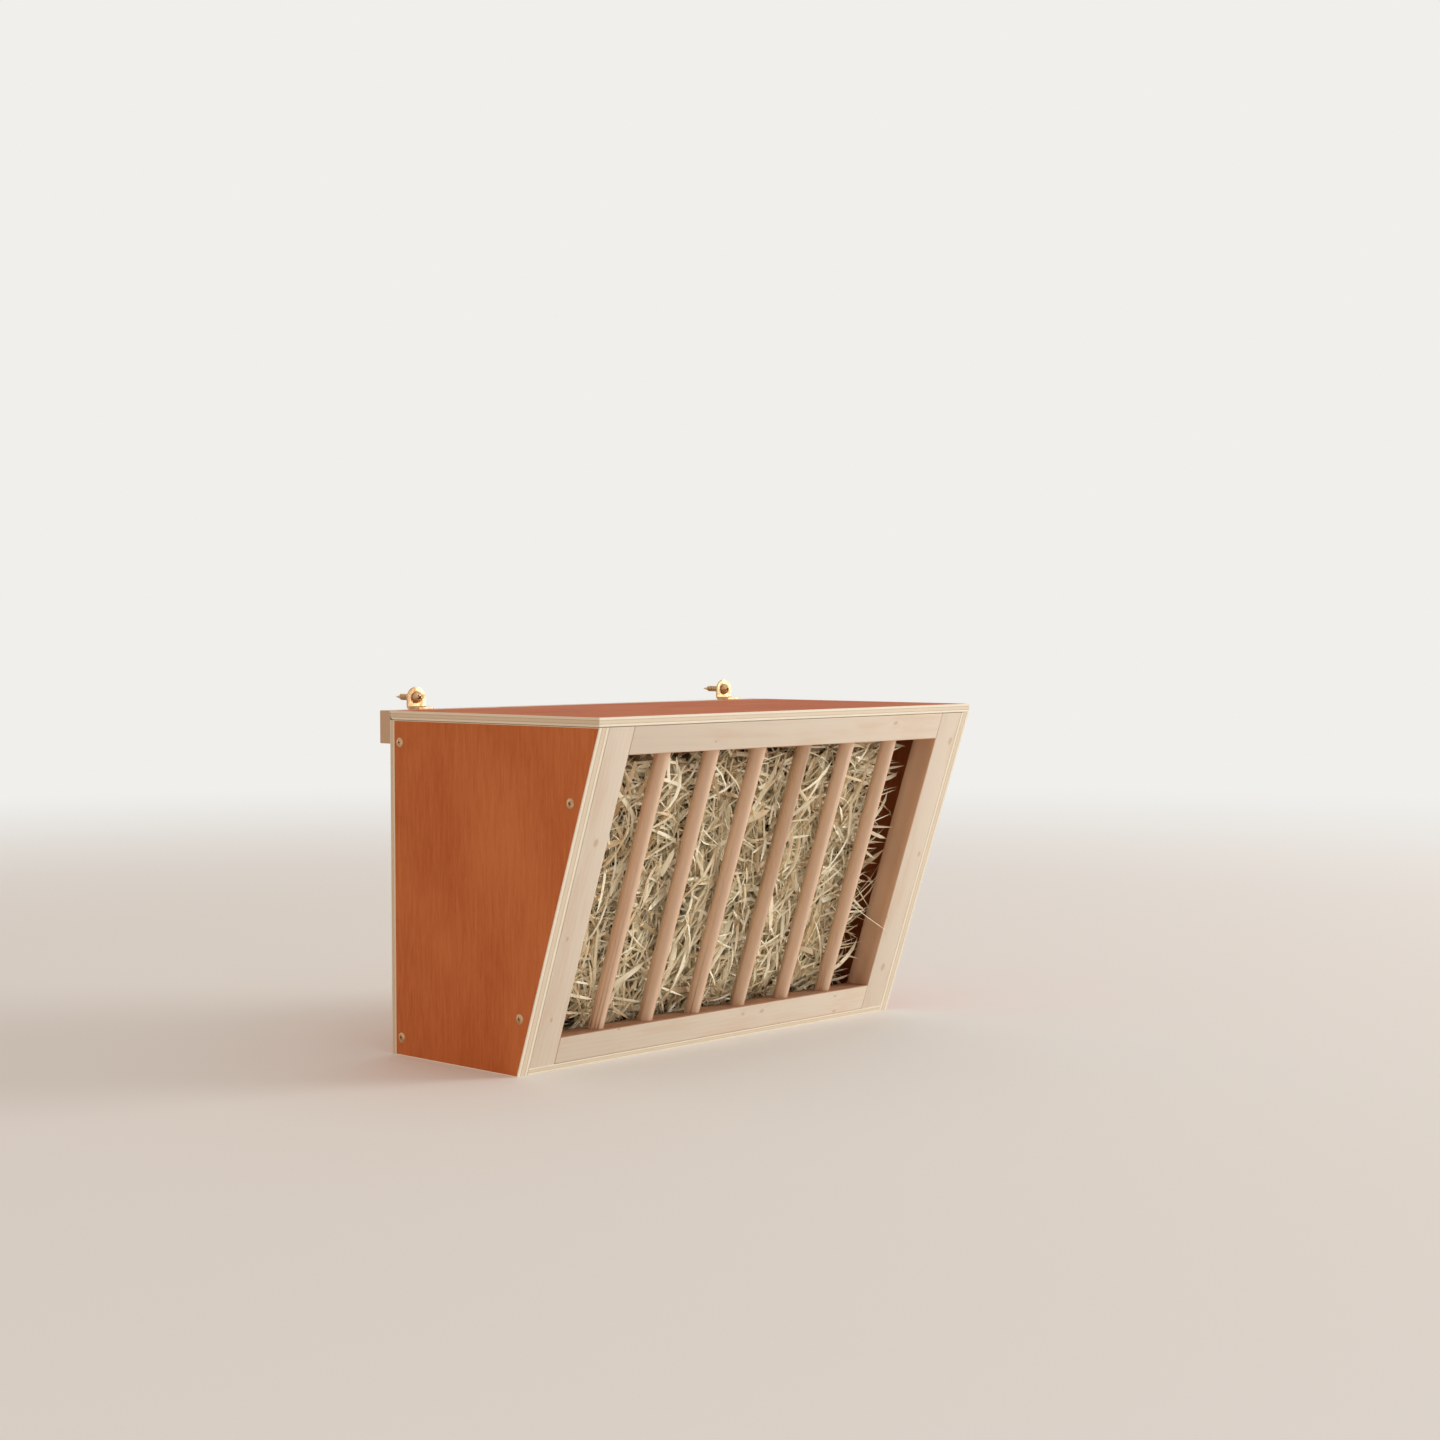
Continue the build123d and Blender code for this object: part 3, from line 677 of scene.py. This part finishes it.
def dress(node, name, rounding=0.0):
    """Copy a CAD node's mesh, merge it and, given a rounding, round its edges; the copy stands for the
    node.
    """
    source = frame["nodes"][node]
    piece = bpy.data.objects.new(name, source.data.copy())
    bpy.context.collection.objects.link(piece)
    select_only(piece)
    bpy.ops.object.mode_set(mode="EDIT")
    bpy.ops.mesh.select_all(action="SELECT")
    bpy.ops.mesh.remove_doubles(threshold=0.001 * MM)
    bpy.ops.mesh.dissolve_limited(angle_limit=math.radians(0.5))
    bpy.ops.object.mode_set(mode="OBJECT")
    if rounding:
        apply_modifier(piece, "BEVEL", width=rounding, segments=3, limit_method="ANGLE",
                       angle_limit=math.radians(30), harden_normals=False)
    select_only(piece)
    bpy.ops.object.shade_smooth_by_angle(angle=math.radians(35))
    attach(piece, source["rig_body"])
    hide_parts(node)
    return piece


# ---------------------------------------------------------------- hay

BLADE_STEPS = 5
BLADE_SIDES = 4
# Width and reach in millimetres, bend and twist from end to end
SPIKES = (
    (1.4, 26, 0.5, 0.5),
    (1.2, 22, 1.0, 0.8),
    (1.7, 30, 0.9, 1.2),
    (1.0, 30, 1.7, 0.3),
    (1.3, 17, 0.2, 0.2),
)
LEAVES = (
    (2.9, 34, 0.9, 0.8),
    (2.3, 27, 1.4, 1.5),
    (2.6, 21, 0.5, 0.4),
)
# Where blades start, in millimetres: least, most and, as a third number, likeliest.
# A spread runs from left to right, and a depth is measured from the front face.
FRONT_SPREAD, FRONT_DEPTH = (-112, 79), (9, 24, 11)
TIP_SPREAD = (62, 80)
DEEP_SPREAD, DEEP_DEPTH = (-116, 80), (25, 48, 30)
TOP_SPREAD, TOP_Y, TOP_Z = (-116, 92), (-128, -22), (-42, -16, -26)
TIP_SHARE = 0.05
TRIES_PER_BLADE = 12
# How far the hay keeps from the panels and the lid
WALL_GAP = 0.5 * MM
LID_GAP = 3 * MM
# Depths behind the front face at which the hay has to keep clear of the frame and of the bars,
# and how far it keeps from a bar's axis
FRAME_ZONE = 13.5 * MM
BAR_FRONT, BAR_BACK = 3 * MM, 10 * MM
BAR_CLEARANCE = 4 * MM


def model_blade(name, width, reach, bend, twist, flatness=0.14):
    """A tapering blade from the origin along +Z, drawn out of a flattened cylinder step by step."""
    step = reach / BLADE_STEPS
    bpy.ops.mesh.primitive_cylinder_add(vertices=BLADE_SIDES, radius=width / 2, depth=step)
    blade = bpy.context.object
    bpy.ops.object.mode_set(mode="EDIT")
    bpy.ops.transform.resize(value=(1, flatness, 1), center_override=(0, 0, 0))
    bpy.ops.transform.translate(value=(0, 0, step / 2))
    select_parts(blade, "faces", lambda face: face.normal.z > 0.9)
    tip = Vector((0, 0, step))
    widths = [math.sqrt(1 - (number / BLADE_STEPS) ** 2) for number in range(BLADE_STEPS)]
    for number in range(1, BLADE_STEPS):
        heading = bend * number / BLADE_STEPS
        move = Vector((0, math.sin(heading), math.cos(heading))) * step
        tip = tip + move
        taper = widths[number] / widths[number - 1]
        bpy.ops.mesh.extrude_region_move(TRANSFORM_OT_translate={"value": move})
        bpy.ops.transform.resize(value=[taper] * 3, center_override=tip)
        bpy.ops.transform.rotate(value=bend / BLADE_STEPS, orient_axis="X", center_override=tip)
        bpy.ops.transform.rotate(value=twist / BLADE_STEPS, orient_axis="Z", center_override=tip)
    bpy.ops.mesh.merge(type="CENTER")
    bpy.ops.object.mode_set(mode="OBJECT")
    settle(blade, name)
    blade.data.attributes.new("tone", "FLOAT", "POINT")
    along = blade.data.attributes.new("along", "FLOAT", "POINT")
    for vertex in blade.data.vertices:
        along.data[vertex.index].value = min(vertex.co.length / reach, 1)
    return blade


class HaySpace:
    """The room that the hay may fill: inside the box, and between the bars at its front."""

    def __init__(self):
        side_low, side_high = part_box("left_side_panel")
        self.front_top = side_low.y
        self.top = side_high.z
        self.side = -side_high.x
        self.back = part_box("back_panel")[0].y
        self.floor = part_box("bottom_panel")[1].z
        self.opening_side = -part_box("left_stile")[1].x
        self.opening_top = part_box("top_rail")[0].z
        self.opening_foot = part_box("bottom_rail")[1].z
        boxes = [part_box(bar) for bar in BARS]
        self.bars = [(low.x + high.x) / 2 for low, high in boxes]

    def depth(self, point):
        """Depth behind the leaning front face, square to it."""
        lean = (self.top - point.z) * math.tan(FRONT_LEAN)
        return (point.y - self.front_top - lean) * math.cos(FRONT_LEAN)

    def at(self, x, rise, depth):
        """The point at a width, a share of the opening's height and a depth behind the front."""
        z = self.opening_foot + (self.opening_top - self.opening_foot) * rise
        y = self.front_top + (self.top - z) * math.tan(FRONT_LEAN) + depth / math.cos(FRONT_LEAN)
        return Vector((x, y, z))

    def holds(self, point, proud):
        """Whether a point is free of wood, and no further than `proud` in front of the frame."""
        depth = self.depth(point)
        if depth < -proud or point.y > self.back - WALL_GAP:
            return False
        if not -self.side + WALL_GAP < point.x < self.side - WALL_GAP:
            return False
        if not self.floor + WALL_GAP < point.z < self.top - LID_GAP:
            return False
        if depth < FRAME_ZONE:
            if abs(point.x) > self.opening_side - WALL_GAP:
                return False
            if not self.opening_foot + WALL_GAP < point.z < self.opening_top - WALL_GAP:
                return False
        if BAR_FRONT < depth < BAR_BACK:
            return min(abs(point.x - bar) for bar in self.bars) > BAR_CLEARANCE
        return True


def lay_hay(name, blades, count, pick_place, room, rng, proud, tones, by_hand=()):
    """Lay copies of the blades where they fit, each with its own size, turn and tone.

    Blades given one by one come first, each as a blade, a matrix and a tone.
    """
    corners = {blade: [vertex.co.copy() for vertex in blade.data.vertices] for blade in blades}
    laid = list(by_hand)
    tries = 0
    while len(laid) < count and tries < count * TRIES_PER_BLADE:
        tries += 1
        blade = rng.choice(blades)
        base, heading = pick_place(rng)
        grow = rng.uniform(0.75, 1.25)
        size = Matrix.Diagonal((rng.uniform(0.7, 1.3), rng.uniform(0.7, 1.5) * grow, grow, 1))
        place = seat(*base, heading, rng.uniform(0, 2 * math.pi)) @ size
        if all(room.holds(place @ corner, proud) for corner in corners[blade]):
            laid.append((blade, place, rng.uniform(*tones)))
    copies = []
    for blade, place, tone in laid:
        copy = copy_at(blade, place)
        copy.data.attributes["tone"].data.foreach_set("value", [tone] * len(copy.data.vertices))
        copies.append(copy)
    return join_copies(copies, name)


def any_direction(rng):
    """A random direction, evenly spread."""
    z = rng.uniform(-1, 1)
    turn = rng.uniform(0, 2 * math.pi)
    flat = math.sqrt(1 - z * z)
    return Vector((flat * math.cos(turn), flat * math.sin(turn), z))


# ---------------------------------------------------------------- operators

FLOOR_RADIUS = 9
FLOOR_GAP = 0.05 * MM
FEEDER_MIDDLE = Vector((0, -0.07, -0.08))
KEY_PLACE, KEY_SIZE = Vector((2.6, -2.05, 0.63)), 1.64
TOP_PLACE, TOP_SIZE, TOP_SHARE = Vector((0.2, -0.7, 2.0)), 1.4, 0.028
WALL_SIDE = (-0.8, 0.6, 0)
# The camera that the photograph was taken with: place, then heading, pitch and roll in degrees
CAMERA_PLACE = (-0.80159, -0.8572, 0.02975)
CAMERA_TURN = (-46.486, -2.121, -0.124)
SENSOR_WIDTH = 36


class HAYFEEDER_OT_panels(bpy.types.Operator):
    """Stain the plywood panels and bare their layered edges"""

    bl_idname = "hay_feeder.panels"
    bl_label = "Plywood panels"

    def execute(self, context):
        wood = settings().wood
        upright, across = (0, 0, 0), (0, math.pi / 2, 0)
        for node, axis, turn, soaked in (
            ("left_side_panel", 0, upright, 0.0),
            ("right_side_panel", 0, upright, 0.0),
            ("back_panel", 1, upright, 0.0),
            ("bottom_panel", 2, across, 0.0),
            ("lid", 2, across, 0.3),
        ):
            panel = frame["nodes"][node]
            paint(panel, stained_plywood(f"{node}_plywood", wood, axis, node, turn, soaked))
        return {"FINISHED"}


class HAYFEEDER_OT_pine(bpy.types.Operator):
    """Give the frame, posts and hanging rail planed pine with knots, and paint shade on the faces round
    its opening
    """

    bl_idname = "hay_feeder.pine"
    bl_label = "Pine frame"

    def execute(self, context):
        wood = settings().wood
        along_front, upright, across = (FRONT_LEAN, 0, 0), (0, 0, 0), (0, math.pi / 2, 0)
        left_edge, right_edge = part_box("left_stile")[1].x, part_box("right_stile")[0].x
        top_edge, bottom_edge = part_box("top_rail")[0].z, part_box("bottom_rail")[1].z
        skin = 0.3 * MM
        # The fifth value of each row is painted shade for the faces round the opening: a direction, a
        # distance and a colour.
        for name, turn, pith, knots, painted_shade, nodes in (
            ("left_stile_pine", along_front, (-0.02, -0.05, -0.08), LEFT_STILE_KNOTS,
             (X, left_edge - skin, wood.pine_inner_painted_shade), ("left_stile",)),
            ("right_stile_pine", along_front, (0.02, -0.06, -0.08), RIGHT_STILE_KNOTS,
             (-X, -right_edge - skin, wood.pine_inner_painted_shade), ("right_stile",)),
            ("top_rail_pine", across, (0, -0.10, 0.03), TOP_RAIL_KNOTS,
             (-Z, -top_edge - skin, wood.pine_inner_painted_shade), ("top_rail",)),
            ("bottom_rail_pine", across, (0, -0.05, -0.20), BOTTOM_RAIL_KNOTS,
             (Z, bottom_edge - skin, wood.pine_foot_painted_shade), ("bottom_rail",)),
            ("post_pine", upright, (0.03, 0.05, 0), (), None,
             ("left_corner_post", "right_corner_post")),
            ("hanging_rail_pine", across, (0, 0.02, 0.02), (), None, ("hanging_rail",)),
        ):
            material = planed_pine(name, wood, turn, pith, knots, painted_shade)
            for node in nodes:
                piece = paint(dress(node, f"{node}_planed", 0.25 * MM), material)
        return {"FINISHED"}


class HAYFEEDER_OT_dowels(bpy.types.Operator):
    """Turn the bars and dowel pins from beech"""

    bl_idname = "hay_feeder.dowels"
    bl_label = "Bars and dowel pins"

    def execute(self, context):
        wood = settings().wood
        bars = turned_beech("bar_beech", wood, (FRONT_LEAN, 0, 0))
        pins = turned_beech("pin_beech", wood, (0, math.pi / 2, 0))
        for bar in BARS:
            paint(dress(bar, f"{bar}_turned"), bars)
        paint(dress("frame_dowel_pins", "dowel_pins_turned"), pins)
        return {"FINISHED"}


class HAYFEEDER_OT_brass(bpy.types.Operator):
    """Round the edges of the brackets and hinges and plate them"""

    bl_idname = "hay_feeder.brass"
    bl_label = "Brackets and hinges"

    def execute(self, context):
        metal = settings().metal
        brass = dulled_brass("sheet_brass", metal)
        for side in ("left", "right"):
            for part in ("bracket", "hinge_rail_leaf", "hinge_lid_leaf"):
                piece = dress(f"{side}_{part}", f"{side}_{part}_plated", metal.arris)
                paint(piece, brass)
        paint(dress("hinge_pins", "hinge_pins_plated"), brass)
        return {"FINISHED"}


class HAYFEEDER_OT_screws(bpy.types.Operator):
    """Model the screws with drive crosses and threads and set them in place"""

    bl_idname = "hay_feeder.screws"
    bl_label = "Screws"

    def execute(self, context):
        metal = settings().metal
        brass = dulled_brass("screw_brass", metal)
        rng = random.Random(3)
        coarse, fine = metal.thread_pitch, metal.thread_pitch / 2
        kinds = {
            "wall": model_screw("wall_screw", 5.5 * MM, 2.4 * MM, 3 * MM, 15 * MM, False,
                                coarse, neck=2.4 * MM, recess=-0.9 * MM),
            "side": model_screw("side_screw", 4.5 * MM, 0.5 * MM, 2.2 * MM, 14 * MM, True, coarse),
            "bracket": model_screw("bracket_screw", 3.8 * MM, 0.3 * MM, 2 * MM, 10 * MM, True, coarse),
            "rail": model_screw("rail_screw", 4.5 * MM, 0.5 * MM, 2.2 * MM, 9 * MM, True, coarse),
            "hinge_rail": model_screw("hinge_rail_screw", 2.4 * MM, 0.02 * MM, 1.2 * MM, 5 * MM,
                                      True, fine, recess=0.25 * MM),
            "hinge_lid": model_screw("hinge_lid_screw", 2.4 * MM, 0.02 * MM, 1.2 * MM, 3 * MM,
                                     True, fine, recess=0.25 * MM),
        }
        for node, kind, facing in (
            ("wall_screws", "wall", -Y), ("left_side_screws", "side", -X),
            ("right_side_screws", "side", X), ("bracket_screws", "bracket", Z),
            ("rail_screws", "rail", -Y), ("hinge_rail_screws", "hinge_rail", -Y),
            ("hinge_lid_screws", "hinge_lid", -Z),
        ):
            model = kinds[kind]
            point = min(vertex.co.z for vertex in model.data.vertices)
            copies = []
            for low, high in solids_of(node):
                half = (high - low) / 2
                tip = (low + high) / 2 - facing * abs(facing.dot(half))
                place = seat(*(tip - facing * point), facing, rng.uniform(0, math.pi))
                copies.append(copy_at(model, place))
            piece = paint(join_copies(copies, f"{node}_threaded"), brass)
            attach(piece, "lid" if kind == "hinge_lid" else "box")
            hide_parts(node)
        for model in kinds.values():
            bpy.data.objects.remove(model)
        return {"FINISHED"}


class HAYFEEDER_OT_nails(bpy.types.Operator):
    """Finish the wire nails of the back and bottom panels"""

    bl_idname = "hay_feeder.nails"
    bl_label = "Nails"

    def execute(self, context):
        steel = bright_steel("nail_steel", settings().metal)
        for node in ("back_nails", "bottom_nails"):
            piece = dress(node, f"{node}_drawn", 0.12 * MM)
            paint(piece, steel)
        return {"FINISHED"}


class HAYFEEDER_OT_hay(bpy.types.Operator):
    """Fill the box with hay that stays clear of the bars and of the lid"""

    bl_idname = "hay_feeder.hay"
    bl_label = "Hay"

    def execute(self, context):
        hay = settings().hay
        rng = random.Random(hay.seed)
        room = HaySpace()
        grass = dried_grass("dried_grass", hay)
        spikes = [model_blade("spike", width * MM, reach * MM, bend, twist)
                  for width, reach, bend, twist in SPIKES]
        spikes.append(model_blade("stalk", 0.7 * MM, 34 * MM, 0.35, 0.2, flatness=0.9))
        broad = [model_blade("leaf", width * MM, reach * MM, bend, twist, flatness=0.1)
                 for width, reach, bend, twist in LEAVES]
        outward = Vector((0, -math.cos(FRONT_LEAN), -math.sin(FRONT_LEAN)))
        upward = Vector((0, -math.sin(FRONT_LEAN), math.cos(FRONT_LEAN)))

        def front_place(rng):
            """Close behind the bars, more of them low down; a few point out to the right."""
            rise = 1 - rng.uniform(0, 1.12) ** 0.8
            depth = rng.triangular(*FRONT_DEPTH) * MM
            if rng.random() < TIP_SHARE:
                base = room.at(rng.uniform(*TIP_SPREAD) * MM, rise, depth)
                return base, X + upward * rng.gauss(0, 0.45) + outward * rng.uniform(-0.2, 0.5)
            swing = rng.gauss(0, 1.15)
            steep = math.sin(swing) * X + math.cos(swing) * upward
            base = room.at(rng.uniform(*FRONT_SPREAD) * MM, rise, depth)
            return base, steep * rng.choice((1, 1, -1)) + outward * rng.uniform(-0.1, 0.7)

        def deep_place(rng):
            """Further in, every way."""
            base = room.at(rng.uniform(*DEEP_SPREAD) * MM, rng.uniform(-0.1, 1.05),
                           rng.triangular(*DEEP_DEPTH) * MM)
            return base, any_direction(rng)

        def top_place(rng):
            """Near the top, most of them lying."""
            base = Vector((rng.uniform(*TOP_SPREAD) * MM, rng.uniform(*TOP_Y) * MM,
                           rng.triangular(*TOP_Z) * MM))
            direction = any_direction(rng)
            direction.z *= 0.35
            return base, direction

        # One long blade pokes out past the last bar
        long_blade = model_blade("long_blade", 2.6 * MM, 33 * MM, 0.12, 0.3)
        poke_out = [(long_blade, seat(0.082, -0.1001, -0.1, (0.0235, -0.0099, -0.0205), 0.4), 1.0)]
        for name, blades, count, place, proud, tones, by_hand in (
            ("hay_behind_bars", spikes * 4 + broad, hay.front_count, front_place, -6 * MM,
             (0.14, 1.0), poke_out),
            # Painted shade: the deep blades get only low tones, darker for the shade inside the box.
            ("hay_within", broad * 2 + spikes, hay.deep_count, deep_place, -13 * MM,
             (0.0, 0.3), ()),
            ("hay_under_lid", spikes + broad, hay.top_count, top_place, -13 * MM,
             (0.1, 1.0), ()),
        ):
            piece = lay_hay(name, blades, count, place, room, rng, proud, tones, by_hand)
            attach(paint(piece, grass), "box")
        for blade in (*spikes, *broad, long_blade):
            bpy.data.objects.remove(blade)
        return {"FINISHED"}


class HAYFEEDER_OT_stage(bpy.types.Operator):
    """Set the plain floor, the soft light and the camera"""

    bl_idname = "hay_feeder.stage"
    bl_label = "Floor, light and camera"

    def execute(self, context):
        stage = settings().stage
        self.lay_floor(stage)
        self.light(stage)
        self.place_camera(stage)
        context.scene.view_settings.view_transform = "Standard"
        return {"FINISHED"}

    def lay_floor(self, stage):
        """A wide disc under the feeder that turns into the backdrop's colour with distance."""
        foot = cad_box[0].z
        bpy.ops.mesh.primitive_circle_add(vertices=96, radius=FLOOR_RADIUS, fill_type="NGON",
                                          location=(0, 0, foot - FLOOR_GAP))
        floor = settle(bpy.context.object, "floor")
        finish = Finish("floor_paint", roughness=0.9)
        finish.shader.inputs["Base Color"].default_value = (*stage.floor, 1)
        below = finish.node("ShaderNodeNewGeometry", output="Backfacing") * finish.ray("Is Camera Ray")
        # Light comes through the floor where the feeder all but touches it, and reaches its underside
        through = 1 - finish.ray("Ray Length").above(8 * FLOOR_GAP)
        far = finish.rise(finish.size_of(finish.space([1] * 3)), 0.45, 1.9)
        backdrop = finish.node("ShaderNodeEmission", {}, {"Color": stage.backdrop}, "Emission")
        clear = finish.node("ShaderNodeBsdfTransparent", output="BSDF")
        shaded = Socket(finish, finish.shader.outputs["BSDF"])
        faded = finish.node("ShaderNodeMixShader", {}, {0: far * finish.seen(), 1: shaded, 2: backdrop})
        finish.show(finish.node("ShaderNodeMixShader", {}, {0: below + through, 1: faded, 2: clear}))
        paint(floor, finish.material)

    def light(self, stage):
        """Light from all round, warmer from the wall's side, and soft lamps at the right and above."""
        world = bpy.data.worlds.new("studio")
        world.use_nodes = True
        sky = Shading(world.node_tree)
        heading = sky.node("ShaderNodeTexCoord", output="Generated")
        bounced = sky.rise(sky.along(heading, WALL_SIDE), -0.3, 0.7)
        tint = sky.blend(bounced, (1, 1, 1), stage.bounce)
        fill = sky.node("ShaderNodeBackground", {}, {"Color": tint, "Strength": stage.sky})
        seen = sky.node("ShaderNodeBackground", {}, {"Color": stage.backdrop, "Strength": 1.0})
        sky.show(sky.node("ShaderNodeMixShader", {}, {0: sky.seen(), 1: fill, 2: seen}))
        bpy.context.scene.world = world
        for name, place, size, power in (
            ("key_lamp", KEY_PLACE, KEY_SIZE, stage.key),
            ("top_lamp", TOP_PLACE, TOP_SIZE, stage.key * TOP_SHARE),
        ):
            bpy.ops.object.light_add(type="AREA", location=place)
            lamp = bpy.context.object
            lamp.name = name
            lamp.data.shape = "DISK"
            lamp.data.size = size
            lamp.data.energy = power
            aim = FEEDER_MIDDLE - place
            lamp.rotation_euler = aim.to_track_quat("-Z", "Y").to_euler()

    def place_camera(self, stage):
        """The photograph's own angle, from the feeder's left."""
        bpy.ops.object.camera_add()
        camera = bpy.context.object
        camera.name = "camera"
        camera.data.sensor_width = SENSOR_WIDTH
        camera.data.lens = stage.lens
        heading, pitch, roll = (math.radians(angle) for angle in CAMERA_TURN)
        camera.matrix_world = (
            Matrix.Translation(CAMERA_PLACE)
            @ Matrix.Rotation(heading, 4, "Z")
            @ Matrix.Rotation(math.pi / 2 + pitch, 4, "X")
            @ Matrix.Rotation(roll, 4, "Z")
        )
        camera.data.clip_start, camera.data.clip_end = 0.01, 100
        bpy.context.scene.camera = camera


STEPS = (
    HAYFEEDER_OT_panels,
    HAYFEEDER_OT_pine,
    HAYFEEDER_OT_dowels,
    HAYFEEDER_OT_brass,
    HAYFEEDER_OT_screws,
    HAYFEEDER_OT_nails,
    HAYFEEDER_OT_hay,
    HAYFEEDER_OT_stage,
)


class HayFeederSettings(bpy.types.PropertyGroup):
    """All that a user would change."""

    wood: PointerProperty(type=HayFeederWood)
    metal: PointerProperty(type=HayFeederMetal)
    hay: PointerProperty(type=HayFeederHay)
    stage: PointerProperty(type=HayFeederStage)


class HAYFEEDER_PT_panel(bpy.types.Panel):
    """Settings and steps of the hay feeder"""

    bl_idname = "HAYFEEDER_PT_panel"
    bl_label = "Hay Feeder"
    bl_space_type = "VIEW_3D"
    bl_region_type = "UI"
    bl_category = "Hay Feeder"

    def draw(self, context):
        for step in STEPS:
            self.layout.operator(step.bl_idname)
        for group in ("wood", "metal", "hay", "stage"):
            values = getattr(context.scene.hay_feeder, group)
            box = self.layout.box()
            for name in values.__annotations__:
                box.prop(values, name)


CLASSES = (HayFeederWood, HayFeederMetal, HayFeederHay, HayFeederStage, HayFeederSettings,
           *STEPS, HAYFEEDER_PT_panel)


def register():
    for item in CLASSES:
        bpy.utils.register_class(item)
    bpy.types.Scene.hay_feeder = PointerProperty(type=HayFeederSettings)


def unregister():
    del bpy.types.Scene.hay_feeder
    for item in reversed(CLASSES):
        bpy.utils.unregister_class(item)


def main():
    register()
    for step in STEPS:
        group, name = step.bl_idname.split(".")
        getattr(getattr(bpy.ops, group), name)()


if __name__ == "__main__":
    main()
